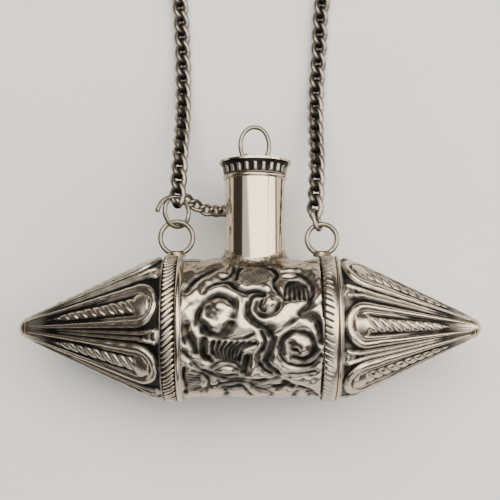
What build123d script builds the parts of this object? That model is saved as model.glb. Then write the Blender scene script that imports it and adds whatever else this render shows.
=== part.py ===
"""Silver scent flask pendant: a chased double-cone body with a stoppered neck, hung on a curb chain.

The flask lies on its back. +X runs along the spindle, +Y along the neck towards the stopper and +Z up.
The origin is on the table, under the middle of the flask's own outline without its chains.
"""

import os
from math import asin, cos, radians, sin, tan

from build123d import *

os.makedirs("parts", exist_ok=True)

# ---- driving dimensions, millimetres ----------------------------------------------------------------
OVERALL_LENGTH = 91.6
SHEET = 0.8  # silver sheet of drum and cones
FLAT_WEAR = 0.6  # depth rubbed off the proudest ring where the flask rests

# drum
DRUM_RADIUS = 13.5
DRUM_LEFT_END = -16.8
DRUM_RIGHT_END = 17.3

# cones
CONE_STEP = 0.2  # the cone's base stands this far proud of the drum
CONE_BASE_RADIUS = DRUM_RADIUS + CONE_STEP
SHOULDER_DROP = 0.8
SHOULDER_RADIUS = CONE_BASE_RADIUS - SHOULDER_DROP  # where the rounded shoulder meets the straight flank
SHOULDER_LENGTH = 3.6
TIP_RADIUS = 2.0
TIP_LENGTH = 1.4
TIP_WALL = 0.7  # cone wall left round the tip plug's stub
TIP_STUB = 1.2

# collars round the joints
COLLAR_THICKNESS = 0.8
LEFT_BAND_WIDTH = 2.65
LEFT_WIRE_WIDTH = 1.1
LEFT_WIRE_HEIGHT = 1.2
RIGHT_BAND_WIDTH = 2.8
RIGHT_WIRE_WIDTH = 0.6
RIGHT_WIRE_HEIGHT = 1.0

# neck
NECK_X = 1.0
NECK_RADIUS = 6.0
NECK_WALL = 0.7
NECK_TOP = 32.9  # above the flask's axis
NECK_FILLET = 2.2
RIM_HEIGHT = 2.4
RIM_FOOT_STEP = 0.45
RIM_TOP_STEP = 0.8
RIM_FOOT_RADIUS = NECK_RADIUS + RIM_FOOT_STEP
RIM_TOP_RADIUS = NECK_RADIUS + RIM_TOP_STEP
BEAD_RADIUS = 0.45

# stopper
PLATE_OVERHANG = 0.5
PLATE_RADIUS = RIM_TOP_RADIUS + PLATE_OVERHANG
PLATE_THICKNESS = 0.4
PLATE_SEAT_GAP = 0.05
PLUG_LENGTH = 6.0
PLUG_FIT = 0.06  # radial running fit in the neck
PLUG_CHAMFER = 0.5

# pull ring and the staple it swings in
PULL_WIRE = 0.8
PULL_WIDTH = 5.8
PULL_HEIGHT = 6.8
PULL_GAP_ABOVE_PLATE = 0.15
STAPLE_WIRE = 0.6
STAPLE_FIT = 0.08  # radial running fit of the pull ring's wire in the staple
STAPLE_LEG = 3.5

# soldered rings on the collars
RING_WIRE = 1.0
LEFT_RING_X = -14.7
LEFT_RING_OUTER = 7.5
RIGHT_RING_X = 14.4
RIGHT_RING_OUTER = 7.0
SADDLE_RADIUS = 1.8
SADDLE_HEIGHT = 1.0
NOTCH_GAP = 0.03  # round the left ring's wire, where the collar wire is filed away for it

# jump ring and last link
JUMP_WIRE = 0.95
JUMP_OUTER = 7.1
JUMP_TILT = 42.0  # left side up
LINK_GAP = 0.08  # air between two wires that hang in each other
END_LINK_ANGLE = 105.0  # round the right ring, from +X
END_LINK_ROLL = 60.0
TETHER_ROLL = 15.0  # leaves the first link square across the jump ring

# curb chain
CHAIN_WIDTH = 3.6
LINK_WIRE = 0.9
LINK_ROOM = 0.4  # beside the ring's wire, in the last link
LINK_WIDTH = RING_WIRE + 2 * LINK_WIRE + LINK_ROOM
LINK_PITCH = 3.0
LINK_SLACK = 0.15
TETHER_WIRE = 0.75
TETHER_WIDTH = 3.1
TETHER_PITCH = 2.5
TETHER_SLACK = 0.35
COIL_CENTRE = (0.0, 87.25)
COIL_INNER_RADIUS = 14.6
COIL_OUTER_RADIUS = 24.8
COIL_HEIGHT = 7.1
COIL_EDGE = 1.2

# the neck chain's two strands, from the rings down to the table and on to the coil
LEFT_STRAND = [
    (-14.6, 14.1, 13.7),
    (-14.3, 22.3, 11.6),
    (-14.1, 31.2, 5.6),
    (-14.3, 40.7, 1.9),
    (-14.6, 50.7, 1.9),
    (-15.3, 60.9, 1.9),
    (-18.4, 71.0, 1.9),
    (-22.2, 79.8, 1.9),
    (-22.9, 86.2, 1.9),
]
RIGHT_STRAND = [
    (13.1, 11.5, 13.8),
    (13.8, 19.6, 11.4),
    (13.7, 28.6, 5.4),
    (14.1, 38.0, 1.9),
    (14.9, 48.0, 1.9),
    (15.3, 58.4, 1.9),
    (18.4, 68.6, 2.3),
    (22.2, 78.4, 3.9),
    (22.9, 86.2, 5.2),
]

# the short chain that hangs from the jump ring and runs under the neck
TETHER_ROUTE = [
    (-12.85, 11.55, 12.2),
    (-8.9, 11.1, 10.0),
    (-5.2, 10.0, 5.4),
    (-1.6, 9.4, 1.8),
    (2.0, 10.2, 1.3),
    (4.2, 12.9, 1.3),
]

# ---- sizes worked out from them ---------------------------------------------------------------------
BAND_RADIUS = DRUM_RADIUS + COLLAR_THICKNESS
PROUDEST_RADIUS = DRUM_RADIUS + max(LEFT_WIRE_HEIGHT, RIGHT_WIRE_HEIGHT, COLLAR_THICKNESS)
LEFT_WIRE_RADIUS = DRUM_RADIUS + LEFT_WIRE_HEIGHT
RIGHT_WIRE_RADIUS = DRUM_RADIUS + RIGHT_WIRE_HEIGHT

PLATE_BOTTOM = NECK_TOP + PLATE_SEAT_GAP
PLATE_TOP = PLATE_BOTTOM + PLATE_THICKNESS
PULL_PIVOT = PLATE_TOP + PULL_GAP_ABOVE_PLATE + PULL_WIRE / 2
PULL_TOP = PULL_PIVOT - PULL_WIRE / 2 + PULL_HEIGHT

AXIS_Z = PROUDEST_RADIUS - FLAT_WEAR
AXIS_Y = (PROUDEST_RADIUS - PULL_TOP) / 2

NECK_BORE = NECK_RADIUS - NECK_WALL
LEFT_BAND_START = DRUM_LEFT_END + LEFT_BAND_WIDTH
RIGHT_BAND_START = DRUM_RIGHT_END - RIGHT_WIRE_WIDTH - RIGHT_BAND_WIDTH

SPINDLE = Axis((0, AXIS_Y, AXIS_Z), (1, 0, 0))
NECK_AXIS = Axis((NECK_X, AXIS_Y, AXIS_Z), (0, 1, 0))
LENGTHWISE = Plane((0, AXIS_Y, AXIS_Z), x_dir=(1, 0, 0), z_dir=(0, 0, 1))  # holds both axes
NECK_PLANE = Plane((NECK_X, AXIS_Y, AXIS_Z), x_dir=(1, 0, 0), z_dir=(0, 0, 1))
ACROSS_NECK = Plane((NECK_X, AXIS_Y, AXIS_Z), x_dir=(1, 0, 0), z_dir=(0, 1, 0))
ACROSS_SPINDLE = Plane((0, AXIS_Y, AXIS_Z), x_dir=(0, 1, 0), z_dir=(1, 0, 0))
TABLE = Plane.XY


def band(start, end, inner, outer, crown=0.0):
    """Half section of a ring round the spindle: flat on top, or crowned like half-round wire."""
    with BuildSketch(LENGTHWISE) as section:
        with BuildLine():
            Polyline((start, outer - crown), (start, inner), (end, inner), (end, outer - crown))
            if crown:
                ThreePointArc((end, outer - crown), ((start + end) / 2, outer), (start, outer - crown))
            else:
                Line((end, outer), (start, outer))
        make_face()
    return section.sketch


def obround(length, width, wire, plane):
    """Closed wire loop with round ends: overall length along the plane's X, overall width along its Y."""
    radius = (width - wire) / 2
    half = (length - width) / 2
    with BuildPart() as loop:
        with BuildLine(plane) as path:
            Line((-half, -radius), (half, -radius))
            ThreePointArc((half, -radius), (half + radius, 0), (half, radius))
            Line((half, radius), (-half, radius))
            ThreePointArc((-half, radius), (-half - radius, 0), (-half, -radius))
        with BuildSketch(Plane(path.line @ 0, x_dir=plane.z_dir, z_dir=plane.x_dir)):
            Circle(wire / 2)
        sweep(path=path.line)
    return loop.part


def wire_ring(centre, normal, outer, wire):
    """Round ring of round wire whose normal lies across the flask's Y."""
    with BuildPart() as ring:
        with BuildSketch(Plane(centre, x_dir=(0, 1, 0), z_dir=Vector(0, 1, 0).cross(normal))):
            with Locations(((outer - wire) / 2, 0)):
                Circle(wire / 2)
        revolve(axis=Axis(centre, normal))
    return ring.part


def along_wire(middle, direction, roll):
    """Plane of a link: its X along the chain, rolled by some degrees about it from facing up."""
    direction = Vector(*direction).normalized()
    side = direction.cross(Vector(0, 0, 1)).normalized()
    up = side.cross(direction)
    return Plane(middle, x_dir=direction, z_dir=up * cos(radians(roll)) + side * sin(radians(roll)))


def bend_radii(points):
    """As large an arc at each corner of a cord's route as its two runs allow."""
    radii = []
    for before, corner, after in zip(points, points[1:], points[2:]):
        run_in = Vector(*corner) - Vector(*before)
        run_out = Vector(*after) - Vector(*corner)
        half_turn = radians(run_in.get_angle(run_out) / 2)
        radii.append(0.45 * min(run_in.length, run_out.length) / tan(half_turn))
    return radii


# ---- body -------------------------------------------------------------------------------------------
with BuildPart() as drum_shell:
    revolve(band(DRUM_LEFT_END, DRUM_RIGHT_END, DRUM_RADIUS - SHEET, DRUM_RADIUS), axis=SPINDLE)
    with BuildSketch(ACROSS_NECK):
        Circle(NECK_BORE)
    extrude(amount=DRUM_RADIUS + 1, mode=Mode.SUBTRACT)
drum_shell.part.label = "drum_shell"


def cone_section(side, base):
    """Half section of a hollow cone: rounded shoulder, straight flank, bore for its tip plug."""
    seat_x = side * (OVERALL_LENGTH / 2 - TIP_LENGTH)
    stub_x = seat_x - side * TIP_STUB
    shoulder_x = base + side * SHOULDER_LENGTH
    bore = TIP_RADIUS - TIP_WALL
    with BuildSketch(LENGTHWISE) as section:
        with BuildLine():
            flank = Line((seat_x, TIP_RADIUS), (shoulder_x, SHOULDER_RADIUS))
            TangentArc((shoulder_x, SHOULDER_RADIUS), (base, CONE_BASE_RADIUS), tangent=flank % 1)
            Polyline(
                (base, CONE_BASE_RADIUS),
                (base, CONE_BASE_RADIUS - SHEET),
                (shoulder_x, SHOULDER_RADIUS - SHEET),
                (stub_x, bore),
                (seat_x, bore),
                (seat_x, TIP_RADIUS),
            )
        make_face()
    return section.sketch


with BuildPart() as left_cone:
    revolve(cone_section(-1, DRUM_LEFT_END), axis=SPINDLE)
left_cone.part.label = "left_cone"

with BuildPart() as right_cone:
    revolve(cone_section(1, DRUM_RIGHT_END), axis=SPINDLE)
right_cone.part.label = "right_cone"


def tip_section(side):
    """Half section of a plug with a spherical dome and a stub that fills the cone's bore."""
    end = side * OVERALL_LENGTH / 2
    seat_x = end - side * TIP_LENGTH
    stub_x = seat_x - side * TIP_STUB
    bore = TIP_RADIUS - TIP_WALL
    dome_radius = (TIP_LENGTH**2 + TIP_RADIUS**2) / (2 * TIP_LENGTH)
    half_sweep = asin(min(1.0, TIP_RADIUS / dome_radius)) / 2
    middle = (end - side * dome_radius * (1 - cos(half_sweep)), dome_radius * sin(half_sweep))
    with BuildSketch(LENGTHWISE) as section:
        with BuildLine():
            Polyline((end, 0), (stub_x, 0), (stub_x, bore), (seat_x, bore), (seat_x, TIP_RADIUS))
            ThreePointArc((seat_x, TIP_RADIUS), middle, (end, 0))
        make_face()
    return section.sketch


with BuildPart() as left_tip:
    revolve(tip_section(-1), axis=SPINDLE)
left_tip.part.label = "left_tip"

with BuildPart() as right_tip:
    revolve(tip_section(1), axis=SPINDLE)
right_tip.part.label = "right_tip"

# ---- collars: hatched bands and their edge wires, worn flat underneath -------------------------------
UP = Vector(0, 0, 1)
left_ring_centre = Vector(LEFT_RING_X, AXIS_Y + BAND_RADIUS + LEFT_RING_OUTER / 2, AXIS_Z)
left_ring_notch = wire_ring(left_ring_centre, UP, LEFT_RING_OUTER + 2 * NOTCH_GAP, RING_WIRE + 2 * NOTCH_GAP)

with BuildPart() as left_collar_band:
    revolve(band(DRUM_LEFT_END, LEFT_BAND_START, DRUM_RADIUS, BAND_RADIUS), axis=SPINDLE)
    split(bisect_by=TABLE, keep=Keep.TOP)
left_collar_band.part.label = "left_collar_band"

with BuildPart() as left_collar_wire:
    wire_end = LEFT_BAND_START + LEFT_WIRE_WIDTH
    revolve(band(LEFT_BAND_START, wire_end, DRUM_RADIUS, LEFT_WIRE_RADIUS, LEFT_WIRE_WIDTH / 3), axis=SPINDLE)
    split(bisect_by=TABLE, keep=Keep.TOP)
    add(left_ring_notch, mode=Mode.SUBTRACT)
left_collar_wire.part.label = "left_collar_wire"

with BuildPart() as right_collar_band:
    band_end = RIGHT_BAND_START + RIGHT_BAND_WIDTH
    revolve(band(RIGHT_BAND_START, band_end, DRUM_RADIUS, BAND_RADIUS), axis=SPINDLE)
    split(bisect_by=TABLE, keep=Keep.TOP)
right_collar_band.part.label = "right_collar_band"

with BuildPart() as right_collar_wire:
    wire_start = DRUM_RIGHT_END - RIGHT_WIRE_WIDTH
    crown = RIGHT_WIRE_WIDTH / 3
    revolve(band(wire_start, DRUM_RIGHT_END, DRUM_RADIUS, RIGHT_WIRE_RADIUS, crown), axis=SPINDLE)
    split(bisect_by=TABLE, keep=Keep.TOP)
right_collar_wire.part.label = "right_collar_wire"

# ---- neck -------------------------------------------------------------------------------------------
with BuildPart() as drum_envelope:  # the drum's outside, to trim what stands on it
    with BuildSketch(ACROSS_SPINDLE):
        Circle(DRUM_RADIUS)
    extrude(amount=OVERALL_LENGTH / 4, both=True)

with BuildPart() as neck_tube:
    with BuildSketch(ACROSS_NECK):
        Circle(NECK_RADIUS)
        Circle(NECK_BORE, mode=Mode.SUBTRACT)
    extrude(amount=NECK_TOP)
    add(drum_envelope.part, mode=Mode.SUBTRACT)
neck_tube.part.label = "neck_tube"

with BuildPart() as neck_envelope:
    with BuildSketch(ACROSS_NECK):
        Circle(NECK_RADIUS)
    extrude(amount=NECK_TOP)

with BuildPart() as neck_solder:
    add(drum_envelope.part)
    add(neck_envelope.part)
    saddle_curve = neck_solder.edges().filter_by(GeomType.BSPLINE)
    fillet(saddle_curve, NECK_FILLET)
    add(drum_envelope.part, mode=Mode.SUBTRACT)
    add(neck_envelope.part, mode=Mode.SUBTRACT)
neck_solder.part.label = "neck_solder"

with BuildPart() as neck_rim:
    with BuildSketch(NECK_PLANE):
        with BuildLine():
            Polyline(
                (NECK_RADIUS, NECK_TOP - RIM_HEIGHT),
                (RIM_FOOT_RADIUS, NECK_TOP - RIM_HEIGHT),
                (RIM_TOP_RADIUS, NECK_TOP),
                (NECK_RADIUS, NECK_TOP),
                close=True,
            )
        make_face()
    revolve(axis=NECK_AXIS)
neck_rim.part.label = "neck_rim"

with BuildPart() as neck_bead:
    bead_y = NECK_TOP - RIM_HEIGHT - BEAD_RADIUS
    with BuildSketch(NECK_PLANE):
        with BuildLine():
            Line((NECK_RADIUS, bead_y + BEAD_RADIUS), (NECK_RADIUS, bead_y - BEAD_RADIUS))
            ThreePointArc(
                (NECK_RADIUS, bead_y - BEAD_RADIUS),
                (NECK_RADIUS + BEAD_RADIUS, bead_y),
                (NECK_RADIUS, bead_y + BEAD_RADIUS),
            )
        make_face()
    revolve(axis=NECK_AXIS)
neck_bead.part.label = "neck_bead"

# ---- stopper ----------------------------------------------------------------------------------------
STAPLE_EYE = PULL_WIRE / 2 + STAPLE_FIT  # inner radius of the staple's bend
STAPLE_BEND = STAPLE_EYE + STAPLE_WIRE / 2
STAPLE_PLANE = Plane((NECK_X, AXIS_Y, AXIS_Z), x_dir=(0, 0, 1), z_dir=(-1, 0, 0))  # across the ring's wire

with BuildPart() as stopper_staple:
    with BuildLine(STAPLE_PLANE) as staple_path:
        Line((-STAPLE_BEND, PLATE_BOTTOM - STAPLE_LEG), (-STAPLE_BEND, PULL_PIVOT))
        ThreePointArc((-STAPLE_BEND, PULL_PIVOT), (0, PULL_PIVOT + STAPLE_BEND), (STAPLE_BEND, PULL_PIVOT))
        Line((STAPLE_BEND, PULL_PIVOT), (STAPLE_BEND, PLATE_BOTTOM - STAPLE_LEG))
    with BuildSketch(Plane(staple_path.line @ 0, x_dir=(1, 0, 0), z_dir=staple_path.line % 0)):
        Circle(STAPLE_WIRE / 2)
    sweep(path=staple_path.line)
stopper_staple.part.label = "stopper_staple"

with BuildPart() as stopper_plate:
    with BuildSketch(ACROSS_NECK.offset(PLATE_BOTTOM)):
        Circle(PLATE_RADIUS)
        with Locations((0, STAPLE_BEND), (0, -STAPLE_BEND)):
            Circle(STAPLE_WIRE / 2, mode=Mode.SUBTRACT)
    extrude(amount=PLATE_THICKNESS)
stopper_plate.part.label = "stopper_plate"

with BuildPart() as stopper_plug:
    with BuildSketch(ACROSS_NECK.offset(PLATE_BOTTOM - PLUG_LENGTH)):
        Circle(NECK_BORE - PLUG_FIT)
    extrude(amount=PLUG_LENGTH)
    chamfer(stopper_plug.edges().group_by(Axis.Y)[0], PLUG_CHAMFER)
    with BuildSketch(ACROSS_NECK.offset(PLATE_BOTTOM - STAPLE_LEG)):
        with Locations((0, STAPLE_BEND), (0, -STAPLE_BEND)):
            Circle(STAPLE_WIRE / 2)
    extrude(amount=STAPLE_LEG, mode=Mode.SUBTRACT)
stopper_plug.part.label = "stopper_plug"

pull_ring_plane = Plane(
    (NECK_X, AXIS_Y + PULL_PIVOT - PULL_WIRE / 2 + PULL_HEIGHT / 2, AXIS_Z), x_dir=(0, 1, 0), z_dir=(0, 0, 1)
)
with BuildPart() as pull_ring:
    add(obround(PULL_HEIGHT, PULL_WIDTH, PULL_WIRE, pull_ring_plane))
pull_ring.part.label = "pull_ring"


# ---- rings soldered to the collars -------------------------------------------------------------------
right_ring_centre = Vector(RIGHT_RING_X, AXIS_Y + BAND_RADIUS + RIGHT_RING_OUTER / 2, AXIS_Z)

with BuildPart() as left_ring:
    add(wire_ring(left_ring_centre, UP, LEFT_RING_OUTER, RING_WIRE))
left_ring.part.label = "left_ring"

with BuildPart() as right_ring:
    add(wire_ring(right_ring_centre, UP, RIGHT_RING_OUTER, RING_WIRE))
right_ring.part.label = "right_ring"

with BuildPart() as band_envelope:  # the bands' outside, which the solder saddles sit on
    with BuildSketch(ACROSS_SPINDLE):
        Circle(BAND_RADIUS)
    extrude(amount=OVERALL_LENGTH / 4, both=True)


def solder_saddle(x, *on):
    """Lump of solder round the foot of a ring, standing on a band and on the pieces named."""
    with BuildPart() as saddle:
        with BuildSketch(Plane((x, AXIS_Y, AXIS_Z), x_dir=(1, 0, 0), z_dir=(0, 1, 0))):
            Circle(SADDLE_RADIUS)
        extrude(amount=BAND_RADIUS + SADDLE_HEIGHT)
        fillet(saddle.edges().group_by(Axis.Y)[-1], SADDLE_HEIGHT / 2)
        add(band_envelope.part, mode=Mode.SUBTRACT)
        for piece in on:
            add(piece, mode=Mode.SUBTRACT)
    return saddle.part


with BuildPart() as left_saddle:
    add(solder_saddle(LEFT_RING_X, left_ring.part, left_collar_wire.part))
left_saddle.part.label = "left_saddle"

with BuildPart() as right_saddle:
    add(solder_saddle(RIGHT_RING_X, right_ring.part))
right_saddle.part.label = "right_saddle"

# ---- jump ring, hooked through the left ring ---------------------------------------------------------
jump_radius = (JUMP_OUTER - JUMP_WIRE) / 2
hook_y = left_ring_centre.Y + LEFT_RING_OUTER / 2 - RING_WIRE - LINK_GAP - JUMP_WIRE / 2
jump_centre = Vector(LEFT_RING_X, hook_y + jump_radius, AXIS_Z)
jump_across = Vector(cos(radians(JUMP_TILT)), 0, -sin(radians(JUMP_TILT)))

with BuildPart() as jump_ring:
    add(wire_ring(jump_centre, jump_across.cross(Vector(0, 1, 0)), JUMP_OUTER, JUMP_WIRE))
jump_ring.part.label = "jump_ring"

# ---- links ------------------------------------------------------------------------------------------
LINK_INSIDE = LINK_PITCH + LINK_SLACK
LINK_LENGTH = LINK_INSIDE + 2 * LINK_WIRE

# the link that joins the neck chain to the right ring
end_link_way = Vector(cos(radians(END_LINK_ANGLE)), sin(radians(END_LINK_ANGLE)), 0)
end_link_reach = RIGHT_RING_OUTER / 2 - RING_WIRE - LINK_GAP - LINK_WIRE + LINK_LENGTH / 2
end_link_plane = along_wire(right_ring_centre + end_link_way * end_link_reach, end_link_way, END_LINK_ROLL)
with BuildPart() as right_end_link:
    add(obround(LINK_LENGTH, LINK_WIDTH, LINK_WIRE, end_link_plane))
right_end_link.part.label = "right_end_link"

# the tether's links, each turned a quarter from the one before
tether_inside = TETHER_PITCH + TETHER_SLACK
tether_length = tether_inside + 2 * TETHER_WIRE
with BuildLine():
    tether_line = Spline(*TETHER_ROUTE)
first_middle = tether_inside / 2 - LINK_GAP - JUMP_WIRE / 2
link_count = int((tether_line.length - first_middle) / TETHER_PITCH) + 1
link_loops = []
for number in range(link_count):
    share = (first_middle + number * TETHER_PITCH) / tether_line.length
    roll = TETHER_ROLL if number % 2 else TETHER_ROLL + 90
    link_plane = along_wire(tether_line @ share, tether_line % share, roll)
    link_loops.append(obround(tether_length, TETHER_WIDTH, TETHER_WIRE, link_plane))
with BuildPart() as tether_links:
    add(link_loops)
tether_links.part.label = "tether_links"


# ---- neck chain --------------------------------------------------------------------------------------
def chain_tube(points):
    """Plain round tube of the chain's width along its route."""
    with BuildPart() as tube:
        with BuildLine():
            route = FilletPolyline(*points, radius=bend_radii(points))
        with BuildSketch(Plane(route @ 0, z_dir=route % 0)):
            Circle(CHAIN_WIDTH / 2)
        sweep(path=route)
    return tube.part


with BuildPart() as left_strand:
    add(chain_tube(LEFT_STRAND))
left_strand.part.label = "left_strand"

with BuildPart() as right_strand:
    add(chain_tube(RIGHT_STRAND))
right_strand.part.label = "right_strand"

with BuildPart() as chain_coil:
    with BuildSketch(Plane(COIL_CENTRE + (0,))):
        Circle(COIL_OUTER_RADIUS)
        Circle(COIL_INNER_RADIUS, mode=Mode.SUBTRACT)
    extrude(amount=COIL_HEIGHT)
    fillet(chain_coil.edges(), COIL_EDGE)
chain_coil.part.label = "chain_coil"

# ---- files -------------------------------------------------------------------------------------------
PIECES = (
    drum_shell,
    left_cone,
    right_cone,
    left_tip,
    right_tip,
    left_collar_band,
    left_collar_wire,
    right_collar_band,
    right_collar_wire,
    neck_tube,
    neck_solder,
    neck_rim,
    neck_bead,
    stopper_staple,
    stopper_plate,
    stopper_plug,
    pull_ring,
    left_ring,
    right_ring,
    left_saddle,
    right_saddle,
    jump_ring,
    right_end_link,
    tether_links,
    left_strand,
    right_strand,
    chain_coil,
)
for piece in PIECES:
    export_step(piece.part, f"parts/{piece.part.label}.step")
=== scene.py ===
"""Silver scent flask on a curb chain: its finished pieces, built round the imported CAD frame."""

import math

import bmesh
import bpy
import numpy as np
from mathutils import Matrix, Vector


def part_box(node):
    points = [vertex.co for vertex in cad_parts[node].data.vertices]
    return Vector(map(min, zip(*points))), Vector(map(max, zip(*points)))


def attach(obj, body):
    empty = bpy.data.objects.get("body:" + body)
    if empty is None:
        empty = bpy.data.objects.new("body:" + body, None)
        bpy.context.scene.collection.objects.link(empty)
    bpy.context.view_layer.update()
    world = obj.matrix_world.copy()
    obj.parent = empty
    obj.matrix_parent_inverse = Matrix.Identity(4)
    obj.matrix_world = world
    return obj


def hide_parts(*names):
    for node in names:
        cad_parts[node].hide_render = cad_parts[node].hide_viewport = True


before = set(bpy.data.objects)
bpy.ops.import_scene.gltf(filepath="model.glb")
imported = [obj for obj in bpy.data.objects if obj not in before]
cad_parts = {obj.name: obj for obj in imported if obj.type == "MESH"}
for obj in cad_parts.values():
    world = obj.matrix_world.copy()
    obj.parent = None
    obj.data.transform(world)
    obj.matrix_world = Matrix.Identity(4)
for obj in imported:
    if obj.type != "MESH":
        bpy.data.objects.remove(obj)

bl_info = {
    "name": "Silver scent flask",
    "version": (1, 0, 0),
    "blender": (4, 5, 0),
    "location": "View3D > Sidebar > Flask",
    "description": "Builds the chased drum, cones, collars, neck, rings and chain of a silver scent flask",
    "category": "Object",
}

MM = 0.001
FULL_TURN = 2 * math.pi
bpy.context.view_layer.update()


def middle(node):
    """Middle of a CAD node's box."""
    low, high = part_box(node)
    return (low + high) / 2


def span(node, axis="x"):
    """Where a CAD node starts and ends along an axis, in millimetres."""
    return [getattr(corner, axis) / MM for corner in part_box(node)]


AXIS = middle("drum_shell")
AXIS_Y, AXIS_Z = AXIS.y / MM, AXIS.z / MM  # the spindle's axis, in millimetres
DRUM_RADIUS = (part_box("drum_shell")[1].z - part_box("drum_shell")[0].z) / MM / 2
SHEET = 0.8  # thickness of the drum and the cones
NECK = middle("neck_rim")
NECK_X = NECK.x / MM
NECK_BORE = 5.3  # radius
FLOOR_CLEARANCE = 0.03  # between the collars and the table
RIM_BORE, RIM_FOOT = 6.0, 6.2  # radii of the rim's bore and of its narrow foot
RIM_LIP, LOBE_HEIGHT, FLUTE_DEPTH = 0.12, 0.48, 0.26
COLLAR_RADIUS, COLLAR_CROWN, NICK_DEPTH = 14.05, 0.45, 0.34
HATCH_SLANT, HATCH_THICKNESS, HATCH_SINK = 0.72, 0.62, 0.08
BUMP_DEPTH = 0.0003  # metres
# the order of the values in each finish's look; where the darkness of tarnish and painted shade is None, it
# is read from the piece itself
LOOK = ("Bright", "Dull", "Black", "Blotches", "Blotch Scale", "Gloss", "Dullness", "Tarnish And Shade", "Bump")

PULL_GAUGE, PIVOT_RISE = 0.92, 0.4
# the pull ring's wire, across, up and forwards from its pivot; its end is curled over at the left foot
PULL_RING_BENDS = [
    (-1.45, 1.05, 0.05), (-1.95, 0.75, 0.05), (-2.0, 0.15, 0.03), (-1.0, 0.0, 0.0), (0.2, 0.0, 0.0),
    (1.5, 0.0, 0.0), (2.5, 0.7, 0.0), (2.95, 2.4, 0.0), (2.75, 4.4, 0.0), (1.7, 6.3, 0.0), (-0.1, 6.9, 0.0),
    (-1.8, 6.3, 0.0), (-2.9, 4.4, 0.0), (-3.0, 2.6, 0.0), (-2.7, 1.2, -0.03), (-2.2, 0.35, -0.05),
]
JUMP_GAUGE = 0.95
JUMP_TILT, JUMP_START, JUMP_SWEEP = 42, 132, 412  # degrees; the wire laps over its own start

# the neck chain's route: the CAD strands' points, a little lower where it lies on the table
LEFT_STRAND = [
    (-14.6, 14.1, 13.7), (-14.3, 22.3, 11.6), (-14.1, 31.2, 5.6), (-14.3, 40.7, 1.5),
    (-14.6, 50.7, 1.5), (-15.3, 60.9, 1.5), (-18.4, 71.0, 1.5), (-22.2, 79.8, 1.6), (-22.9, 86.2, 1.6),
]
RIGHT_STRAND = [
    (13.1, 11.5, 13.8), (13.8, 19.6, 11.4), (13.7, 28.6, 5.4), (14.1, 38.0, 1.5), (14.9, 48.0, 1.5),
    (15.3, 58.4, 1.5), (18.4, 68.6, 1.9), (22.2, 78.4, 3.6), (22.9, 86.2, 5.0),
]
COIL_CENTRE = (0.0, 87.25)
COIL_OUTER, COIL_INNER = 22.9, 16.6
COIL_LOW, COIL_HIGH = 1.6, 5.0
COIL_TURNS = 1.75
POINTS_PER_TURN = 16
CHAIN_WIDTH = 0.0036  # metres

# the tether's route, from the jump ring down and in under the neck
TETHER_ROUTE = [
    (-12.7, 13.2, 12.2), (-8.9, 11.0, 10.0), (-5.2, 12.1, 6.6), (-1.6, 11.0, 2.4), (2.0, 10.2, 1.3),
    (4.2, 12.9, 1.3),
]
TETHER_LINK = (2.3, 3.45, 1.85, 0.85)  # pitch, length, width and wire

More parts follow.
